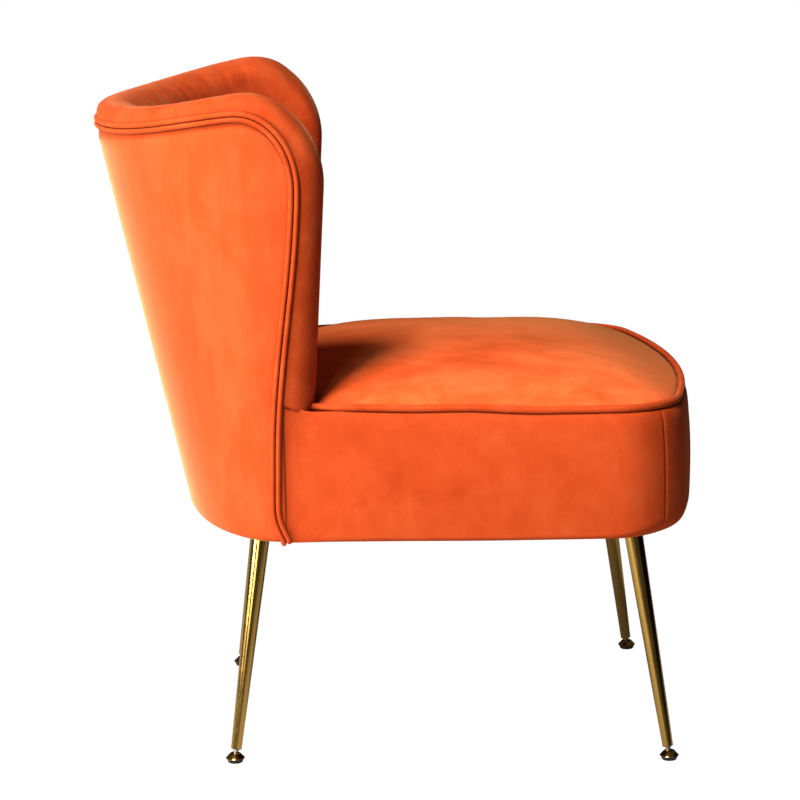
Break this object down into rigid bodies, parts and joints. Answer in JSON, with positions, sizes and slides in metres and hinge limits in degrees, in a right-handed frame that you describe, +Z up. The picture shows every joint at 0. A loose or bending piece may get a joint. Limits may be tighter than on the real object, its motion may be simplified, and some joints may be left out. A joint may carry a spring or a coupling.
{
  "type": "tufted accent chair",
  "caption": "Armless wing-back accent chair with a crowned seat, curved padded back with piped edges, and splayed tapered metal legs on levelling feet.",
  "frame": {"origin": "on the floor under the middle of the chair's outer box", "axes": "+Z up, the chair's front faces -Y, +X is the sitter's left"},
  "size_m": [0.5514, 0.6811, 0.7493],
  "materials": {
    "velvet": "short pile velvet over foam",
    "velvet_piping": "velvet over cord",
    "gold_metal": "polished gold plating on steel",
    "black_plastic": "moulded",
    "steel": "zinc plated",
    "timber": "sawn",
    "foam": "cut foam",
    "felt": "needled felt",
    "webbing": "woven",
    "black_lining": "non-woven"
  },
  "bodies": {
    "chair": {"seat_front_rail": "timber", "seat_side_rail_left": "timber", "seat_side_rail_right": "timber", "seat_rear_rail": "timber", "front_corner_block_left": "timber", "front_corner_block_right": "timber", "rear_corner_block_left": "timber", "rear_corner_block_right": "timber", "rear_base_panel": "timber", "back_middle_former": "timber", "back_upper_former": "timber", "back_lower_struts": "timber", "back_upper_struts": "timber", "wing_ear_left": "timber", "wing_ear_right": "timber", "seat_cushion": "velvet", "seat_border_front": "velvet", "seat_border_left": "velvet", "seat_border_right": "velvet", "back_pad": "velvet", "tuft_buttons": "velvet", "outer_back_panel": "velvet", "seat_welt": "velvet_piping", "back_welt": "velvet_piping", "seat_core": "foam", "spring_felt": "felt", "back_straps": "webbing", "dust_cover": "black_lining", "seat_springs": "steel", "spring_clips": "steel", "rear_rail_screws": "steel", "leg_screws": "steel", "leg_front_left": "gold_metal", "leg_plate_front_left": "gold_metal", "leg_insert_front_left": "steel", "leg_front_right": "gold_metal", "leg_plate_front_right": "gold_metal", "leg_insert_front_right": "steel", "leg_rear_left": "gold_metal", "leg_plate_rear_left": "gold_metal", "leg_insert_rear_left": "steel", "leg_rear_right": "gold_metal", "leg_plate_rear_right": "gold_metal", "leg_insert_rear_right": "steel"},
    "foot_front_left": {"foot_cup_front_left": "gold_metal", "foot_glide_front_left": "black_plastic"},
    "stud_front_left": {"foot_stud_front_left": "steel"},
    "foot_front_right": {"foot_cup_front_right": "gold_metal", "foot_glide_front_right": "black_plastic"},
    "stud_front_right": {"foot_stud_front_right": "steel"},
    "foot_rear_left": {"foot_cup_rear_left": "gold_metal", "foot_glide_rear_left": "black_plastic"},
    "stud_rear_left": {"foot_stud_rear_left": "steel"},
    "foot_rear_right": {"foot_cup_rear_right": "gold_metal", "foot_glide_rear_right": "black_plastic"},
    "stud_rear_right": {"foot_stud_rear_right": "steel"}
  },
  "joints": [
    {"name": "foot_front_left_height", "type": "slide", "parent": "chair", "child": "foot_front_left", "axis": [0.1849, -0.1377, -0.9731], "range_m": [0, 0.008]},
    {"name": "stud_front_left_turn", "type": "hinge", "parent": "foot_front_left", "child": "stud_front_left", "pos_m": [0.22302, -0.28948, 0.0052], "axis": [0.1849, -0.1377, -0.9731], "range_deg": [0, 2880]},
    {"name": "foot_front_right_height", "type": "slide", "parent": "chair", "child": "foot_front_right", "axis": [-0.1849, -0.1377, -0.9731], "range_m": [0, 0.008]},
    {"name": "stud_front_right_turn", "type": "hinge", "parent": "foot_front_right", "child": "stud_front_right", "pos_m": [-0.22302, -0.28948, 0.0052], "axis": [-0.1849, -0.1377, -0.9731], "range_deg": [0, 2880]},
    {"name": "foot_rear_left_height", "type": "slide", "parent": "chair", "child": "foot_rear_left", "axis": [0.1849, 0.1377, -0.9731], "range_m": [0, 0.008]},
    {"name": "stud_rear_left_turn", "type": "hinge", "parent": "foot_rear_left", "child": "stud_rear_left", "pos_m": [0.192, 0.1925, 0.0052], "axis": [0.1849, 0.1377, -0.9731], "range_deg": [0, 2880]},
    {"name": "foot_rear_right_height", "type": "slide", "parent": "chair", "child": "foot_rear_right", "axis": [-0.1849, 0.1377, -0.9731], "range_m": [0, 0.008]},
    {"name": "stud_rear_right_turn", "type": "hinge", "parent": "foot_rear_right", "child": "stud_rear_right", "pos_m": [-0.192, 0.1925, 0.0052], "axis": [-0.1849, 0.1377, -0.9731], "range_deg": [0, 2880]}
  ],
  "couplings": [
    {"joint": "stud_front_left_turn", "follows": "foot_front_left_height", "rad_per_m": 6283.2},
    {"joint": "stud_front_right_turn", "follows": "foot_front_right_height", "rad_per_m": 6283.2},
    {"joint": "stud_rear_left_turn", "follows": "foot_rear_left_height", "rad_per_m": 6283.2},
    {"joint": "stud_rear_right_turn", "follows": "foot_rear_right_height", "rad_per_m": 6283.2}
  ]
}
